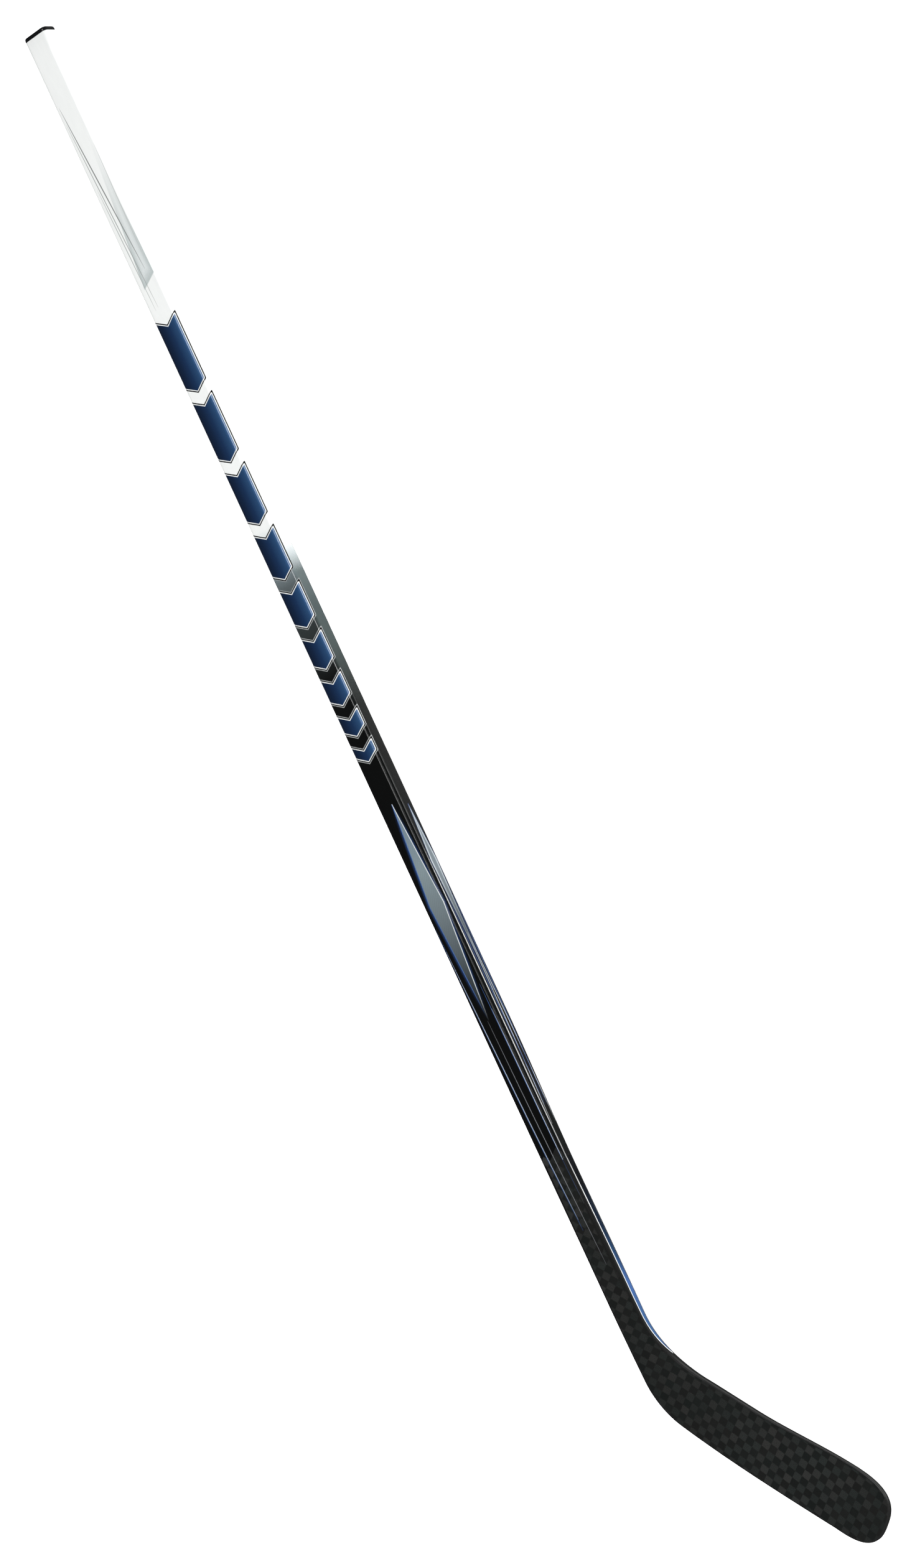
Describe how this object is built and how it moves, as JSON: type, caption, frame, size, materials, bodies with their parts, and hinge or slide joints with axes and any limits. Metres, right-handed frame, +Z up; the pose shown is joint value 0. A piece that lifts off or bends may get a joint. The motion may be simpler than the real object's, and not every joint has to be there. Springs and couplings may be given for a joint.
{
  "type": "ice hockey stick",
  "caption": "Left-hand ice hockey stick: hollow rectangular composite shaft with a pull-out butt cap, thinning hosel and curved foam-cored carbon-weave blade.",
  "frame": {"origin": "on the floor under the middle of the stick's box, the stick lying on the back wide face of its shaft", "axes": "+X along the shaft from the butt to the heel, +Y to the side the blade turns to, +Z up, out of the visible forehand face"},
  "size_m": [1.688, 0.2242, 0.0591],
  "materials": {
    "shaft_paint": "gloss clear coat over a white to black fade with blue bars and pin stripes",
    "weave": "satin resin over large-square carbon weave",
    "edge": "satin black resin edge",
    "edge_stripe": "satin black edge with a blue stripe bordered white",
    "cap": "moulded, soft sheen",
    "fibre": "cured carbon fibre, hidden",
    "tenon": "sanded block, hidden",
    "adhesive": "hot-melt film, hidden",
    "filler": "black epoxy filler, sanded flush",
    "foam": "rigid foam, hidden"
  },
  "bodies": {
    "stick": {"shaft_outer_ply": "shaft_paint", "shaft_wide_strips": "fibre", "shaft_edge_channels": "fibre", "shaft_inner_ply": "fibre", "tenon_core": "tenon", "tenon_wrap": "fibre", "tenon_glue": "adhesive", "seam_filler": "filler", "hosel_core": "foam", "heel_core": "foam", "blade_core_lower": "foam", "core_bridge": "fibre", "blade_core_upper": "foam", "toe_core": "foam", "forehand_skin": "weave", "backhand_skin": "weave", "bottom_edge_band": "edge", "top_edge_band": "edge_stripe", "toe_band": "edge"},
    "cap": {"end_cap": "cap"}
  },
  "joints": [
    {"name": "end_cap_pull", "type": "slide", "parent": "stick", "child": "cap", "axis": [-1, 0, 0], "range_m": [0, 0.04]}
  ]
}
